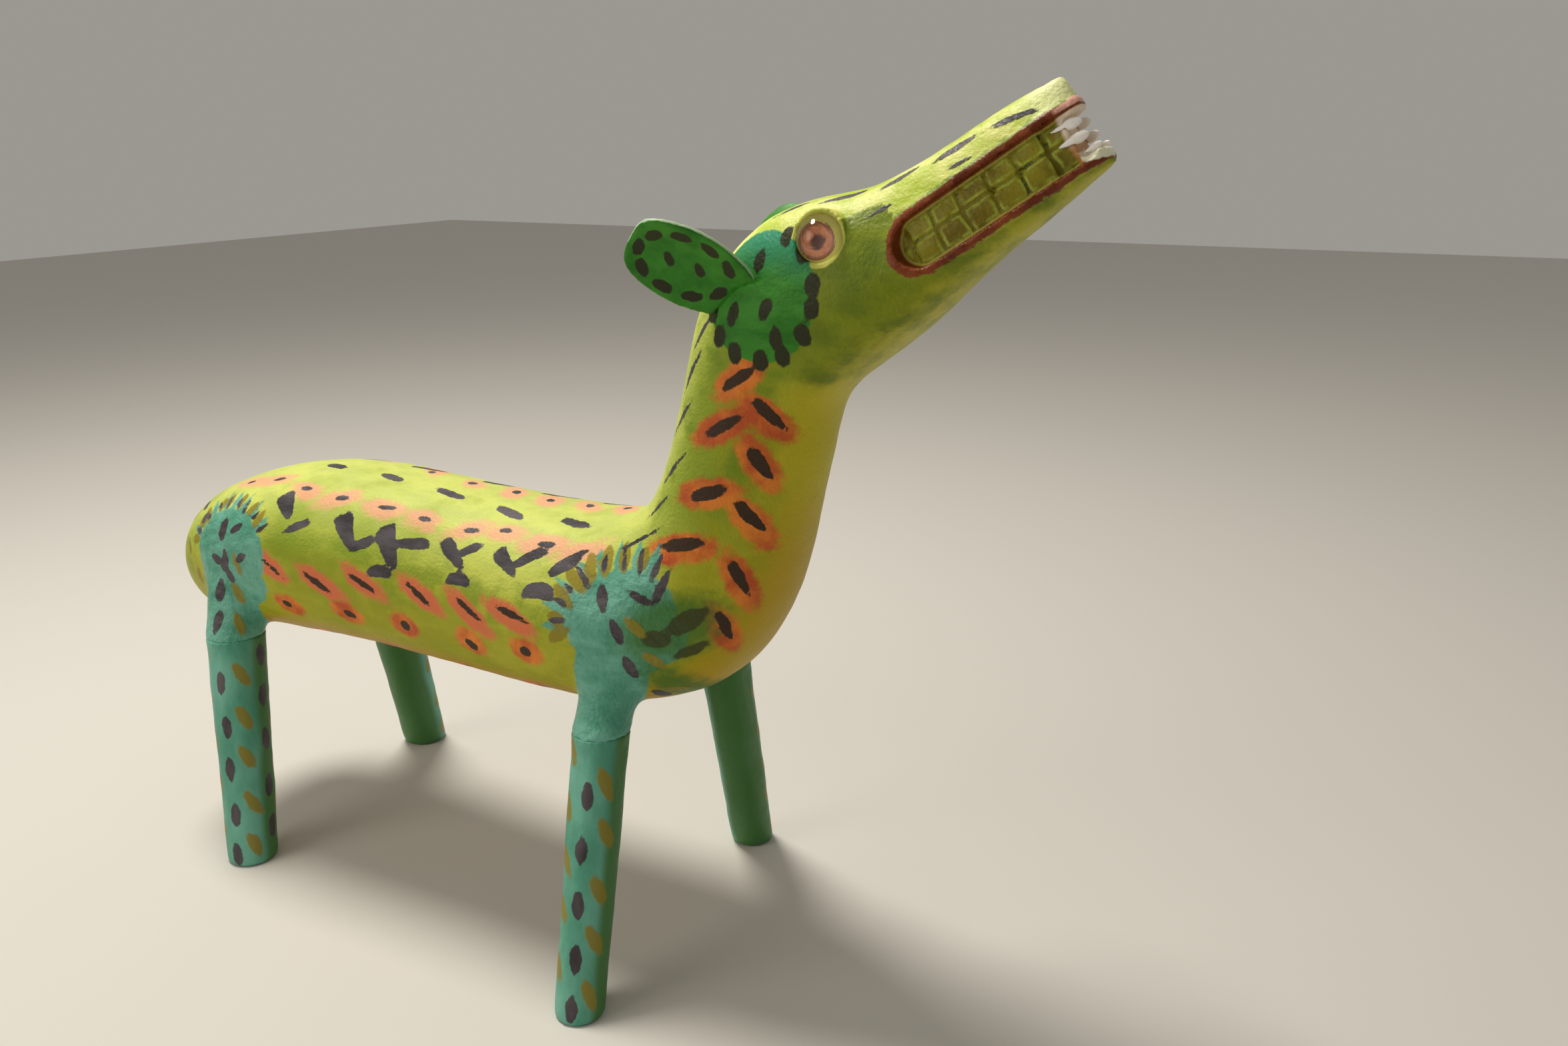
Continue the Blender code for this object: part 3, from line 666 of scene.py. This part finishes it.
    # Painted highlight: a pale yellow band on the lip's inner bevel, all round the bar
    bone = paint.mix((1 - paint.inside(mouth + edge * 0.4, -1.9, 0.4)) * 0.8, bone,
                     (0.50, 0.44, 0.06))
    colour = paint.mix(teeth, colour, bone)
    gum = paint.inside(u + edge, 15, 1.5) * teeth
    colour = paint.mix(gum, colour, paint.mix(paint.ramp(v, -14, 2), (0.50, 0.22, 0.06),
                                              (0.88, 0.74, 0.58)))
    white = paint.inside(u + edge * 2, 13, 0.8) * paint.inside(v + wobble * 8, -13, 1) \
        * (1 - paint.inside(v - u * 0.4 + wobble * 8, -24, 0.8))
    colour = paint.mix(white, colour, (0.86, 0.84, 0.62))
    pink = paint.inside(u + edge * 3, 12, 2) * paint.inside(v + u * 0.2 + edge, 15.5, 0.8) \
        * (1 - paint.inside(v + edge * 0.5, 10.6, 0.5))
    colour = paint.mix(pink * 0.85, colour, (0.84, 0.45, 0.36))
    marks = ink + stroke + ochre
    height = streak * 0.6 + blotch * 0.6 + fine * 0.5 + marks * 0.25 + teal * wobble * 1.8
    return paint.finish(colour, 0.46 - teal * 0.16 + fine * 0.3 + lip * -0.1, height, 0.0014, 0.9)


shade(body, body_paint())


# The legs

def leg_paint():
    paint = Paint("turquoise_leg_paint", Specular_IOR_Level=0.25)
    wobble = paint.grain(140, 3)
    streak = paint.grain(40, 4, (1, 1, 0.4), 0.6)
    broad = paint.grain(14, 2)
    fine = paint.grain(260, 3)
    edge = wobble * 3 + fine * 1.5
    colour = paint.mix(paint.ramp(streak + broad, -0.25, 0.25), *TURQUOISE)
    # Painted shade: darker green on the inner and front side of each leg
    shade_side = paint.ramp(paint.attribute("shade_side") + broad * 0.5, 0.12, 0.55)
    colour = paint.mix(shade_side * 0.88, colour, (0.055, 0.16, 0.022))
    ochre = paint.inside(paint.attribute("ochre") + edge, 0.0, 0.9)
    colour = paint.mix(ochre * 0.9, colour, OCHRE)
    ink = paint.inside(paint.attribute("ink") + edge, 0.0, 0.35)
    colour = paint.mix(ink, colour, paint.mix(paint.ramp(streak, -0.2, 0.2), *CHARCOAL))
    return paint.finish(colour, 0.45 + fine * 0.25, streak * 0.6 + fine * 0.4 + (ink + ochre) * 0.3,
                        0.0009, 0.6)


leg_coat = leg_paint()
for name, (sole, seam) in LEGS.items():
    leg, leg_tree = even_skin(name, f"painted_{name}", 0.0022)
    for _ in range(2):
        refine(leg, leg_tree, lambda p: p.z > (SEAM - 3) * MM or p.z < 0.002)
    low, high = placed(*sole, 0), placed(*seam, SEAM)

    def leg_softness(points):
        z = points[:, 2] / MM
        return np.clip(np.minimum(z - 2, SEAM - 3 - z) / 6, 0, 1)

    points, normals = ease(leg, leg_softness, 10)
    # The knife left four long flats, and the top is packed up to the shoulder with paint
    middle = np.array(low) + (points[:, 2:3] - low.z) / (high.z - low.z) * np.array(high - low)
    away = points - middle
    radius = np.linalg.norm(away[:, :2], axis=1)
    flat = np.maximum(np.abs(away[:, 0]), np.abs(away[:, 1])) - radius.max() * 0.92 - 0.0001
    flat = np.where(np.abs(normals[:, 2]) < 0.6, np.clip(flat, 0, LEG_FLAT_DEPTH * MM), 0)
    points -= away / (radius[:, None] + 1e-9) * (flat * leg_softness(points))[:, None]
    points[:, 2] += np.where(points[:, 2] > (SEAM - 0.6) * MM, SEAM_COVER * MM, 0)
    rise = np.array([0.0008 * noise.noise(Vector(p) * 30) + 0.0003 * noise.noise(Vector(p) * 90)
                     for p in points]) * leg_softness(points)
    points += normals * rise[:, None]
    leg.data.vertices.foreach_set("co", points.ravel())
    leg.data.update()
    skin = Skin(leg)
    side = RIGHT if "right" in name else LEFT
    axis = (high - low).normalized()

    def on_leg(height, angle):
        """The spot at a height in millimetres, angle degrees forward from the outer side."""
        a = math.radians(angle)
        out = Vector((math.sin(a), side * math.cos(a), 0))
        turn = Vector((math.cos(a), -side * math.sin(a), 0))
        return skin.cast(low.lerp(high, height / SEAM), out, axis, turn)

    # Columns of ovals and slanting dabs; the inner and front side gets no dabs, only painted shade
    for column in (0, 1, 3) if name == "leg_hind_right" else (0, 3):
        for k in range(5):
            height = 10 + 36 * k + (18 if column else 0)
            spot = on_leg(height + vary(3), column * 90 + 15 + vary(5))
            skin.dab("ink", spot, vary(6), 21, 9.5, square=1.75)
            spot = on_leg(height + 8 + vary(3), column * 90 + (58 if column < 3 else 55) + vary(5))
            skin.dab("ochre", spot, -26 + vary(6), 24, 9.5, square=1.9)
    # How far each point faces the inner and front side, where painted shade darkens the leg
    a = math.radians(135 if "front" in name else 155)
    skin.coats["shade_side"] = (away[:, 0] * math.sin(a) + side * away[:, 1] * math.cos(a)) \
        / (radius + 1e-9)
    skin.keep()
    shade(leg, leg_coat)


# The ears

def ear_paint():
    paint = Paint("green_ear_paint", Specular_IOR_Level=0.22)
    wobble = paint.grain(140, 3)
    streak = paint.grain(45, 4, (1, 1, 1), 0.6)
    fine = paint.grain(260, 3)
    edge = wobble * 3 + fine * 1.5
    colour = paint.mix(paint.ramp(streak, -0.2, 0.2), *LEAF)
    # Painted highlight: a pale rim on the ear's thin upper edge
    colour = paint.mix(paint.inside(paint.attribute("rim") + fine * 0.3, 0.55, 0.12), colour,
                       (0.42, 0.58, 0.36))
    ink = paint.inside(paint.attribute("ink") + edge, 0.0, 0.35)
    colour = paint.mix(ink, colour, OVAL)
    return paint.finish(colour, 0.42 + fine * 0.25, streak * 0.6 + fine * 0.4 + ink * 0.3,
                        0.0008, 0.6)


ear_coat = ear_paint()
for side, label in ((RIGHT, "right"), (LEFT, "left")):
    ear, _ = even_skin(f"ear_{label}", f"painted_ear_{label}", 0.0012)
    points, normals = ease(ear, lambda p: np.ones(len(p)), 6)
    skin = Skin(ear)
    middle = points.mean(0)
    _, _, axes = np.linalg.svd(points - middle, full_matrices=False)
    out, across, thin = [Vector(axis) for axis in axes]
    root = placed(287, side * 48, 502)
    if (root - Vector(middle)).dot(out) > 0:
        out = -out
    if across.z < 0:
        across = -across
    high = (points - middle) @ np.array(across) / MM
    # The painted highlight falls where this is low: on the thin edge of the ear's upper half
    skin.coats["rim"] = np.abs(normals @ np.array(thin)) + np.clip(-high / 4, 0, 1)
    # A ring of ovals inside the rim and two in the middle: how far out and across, the heading,
    # the length and the width
    ovals = [(30 * math.cos(a), 21.5 * math.sin(a), math.degrees(a) + 90, 14, 7.5)
             for a in (math.radians(-150 + 300 * k / 8) for k in range(9))]
    ovals += [(-10, 0, 60, 11, 6), (10, 0, 60, 11, 6)]
    for face in (thin, -thin):
        for far, aside, heading, length, width in ovals:
            start = Vector(middle) + (out * far + across * aside + face * 30) * MM
            hit = skin.tree.ray_cast(start, -face)
            if hit[0] is not None:
                skin.dab("ink", Spot(hit[0], face, out, across), heading, length, width)
    skin.keep()
    shade(ear, ear_coat)


# The eyes: a painted iris behind a clear dome

glass = Paint("clear_eye_glass", Base_Color=(1, 1, 1, 1), Roughness=0.02, IOR=1.45,
              Transmission_Weight=1.0)


def iris_paint():
    paint = Paint("iris_paint", Specular_IOR_Level=0.5)
    ring = paint.attribute("ring")
    fleck = paint.grain(300, 3)
    colour = paint.mix(paint.ramp(fleck, -0.2, 0.2), (0.50, 0.13, 0.03), (0.78, 0.30, 0.13))
    colour = paint.mix(paint.ramp(ring + fleck, 6.0, 8.2), colour, (0.26, 0.07, 0.02))
    colour = paint.mix(paint.inside(ring + fleck * 2, PUPIL, 1.0), colour, (0.10, 0.02, 0.006))
    colour = paint.mix(paint.ramp(ring + fleck, IRIS, IRIS + 0.6), colour, (0.60, 0.54, 0.08))
    return paint.finish(colour, 0.35, fleck, 0.0002)


iris_coat = iris_paint()
for side, label in ((RIGHT, "right"), (LEFT, "left")):
    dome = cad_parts[f"eye_{label}"]
    dome.data.materials.clear()
    dome.data.materials.append(glass.material)
    facing = Vector((0.10, side, 0.22)).normalized()
    corners = np.array([v.co for v in dome.data.vertices])
    depth = corners @ np.array(facing)
    back = Vector(corners[depth < depth.min() + 0.0004].mean(0))
    # The paint touches the glass, so it lies just inside its flat back
    back += facing * (depth.min() + PAINT_DEPTH * MM - back.dot(facing))
    bm = bmesh.new()
    bmesh.ops.create_circle(bm, cap_ends=True, segments=48, radius=IRIS_DISC * MM)
    for _ in range(6):
        bmesh.ops.inset_individual(bm, faces=[f for f in bm.faces if len(f.verts) > 4],
                                   thickness=0.002)
    bmesh.ops.poke(bm, faces=[f for f in bm.faces if len(f.verts) > 4])
    turn = facing.to_track_quat("Z", "Y").to_matrix().to_4x4()
    bmesh.ops.transform(bm, matrix=Matrix.Translation(back) @ turn,
                        verts=bm.verts[:])
    mesh = bpy.data.meshes.new(f"iris_{label}")
    bm.to_mesh(mesh)
    bm.free()
    ring = mesh.attributes.new("ring", "FLOAT", "POINT")
    ring.data.foreach_set("value", [(v.co - back).length / MM for v in mesh.vertices])
    iris = bpy.data.objects.new(f"iris_{label}", mesh)
    bpy.context.scene.collection.objects.link(iris)
    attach(iris, "root")
    shade(iris, iris_coat)


# The front teeth

def tooth_finish():
    paint = Paint("cream_tooth_paint", Specular_IOR_Level=0.5)
    streak = paint.grain(120, 2)
    colour = paint.mix(paint.ramp(streak, -0.2, 0.2), (0.92, 0.86, 0.78), (0.96, 0.95, 0.92))
    return paint.finish(colour, 0.3 + streak * 0.15, streak, 0.0001, 0.4)


tooth_coat = tooth_finish()
for label in ("right", "left"):
    for kind in ("upper", "middle", "lower"):
        node = f"tooth_{kind}_{label}"
        piece, _ = even_skin(node, f"painted_{node}", 0.0005)
        ease(piece, lambda p: np.ones(len(p)), 3)
        shade(piece, tooth_coat)


# Floor, light and camera

def plain_material(name, colour, roughness):
    return Paint(name, Base_Color=(*colour, 1), Roughness=roughness).material


bm = bmesh.new()
bmesh.ops.create_grid(bm, x_segments=1, y_segments=1, size=6)
mesh = bpy.data.meshes.new("floor")
bm.to_mesh(mesh)
bm.free()
floor = bpy.data.objects.new("floor", mesh)
floor.location.z = -0.0002
floor.data.materials.append(plain_material("pale_floor", (0.62, 0.60, 0.56), 0.7))
bpy.context.scene.collection.objects.link(floor)

world = bpy.data.worlds.new("studio")
world.use_nodes = True
world.node_tree.nodes["Background"].inputs["Color"].default_value = (1.0, 0.95, 0.87, 1)
world.node_tree.nodes["Background"].inputs["Strength"].default_value = 0.33
bpy.context.scene.world = world
bpy.context.scene.view_settings.view_transform = "Standard"


def lamp(name, place, target, size, power, colour):
    data = bpy.data.lights.new(name, "AREA")
    data.shape = "DISK"
    data.size = size
    data.energy = power
    data.color = colour
    made = bpy.data.objects.new(name, data)
    made.location = place
    made.rotation_euler = (Vector(target) - Vector(place)).to_track_quat("-Z", "Y").to_euler()
    bpy.context.scene.collection.objects.link(made)


lamp("key", (-0.8, 0.2, 2.3), (0, 0, 0.3), 0.7, 50, (1.0, 0.95, 0.86))
lamp("fill", (-1.1, -1.8, 1.2), (0, 0, 0.35), 1.4, 12, (1.0, 0.95, 0.85))

# The camera stands where the photograph's did
lens = bpy.data.cameras.new("camera")
lens.lens = 29.72
lens.sensor_width = 36
camera = bpy.data.objects.new("camera", lens)
right = Vector((0.86192, 0.50693, -0.01108))
up = Vector((-0.13985, 0.25867, 0.95579))
turned = Matrix((right, up, right.cross(up))).transposed().to_4x4()
camera.matrix_world = Matrix.Translation((0.6238, -0.72533, 0.6)) @ turned
bpy.context.scene.collection.objects.link(camera)
bpy.context.scene.camera = camera
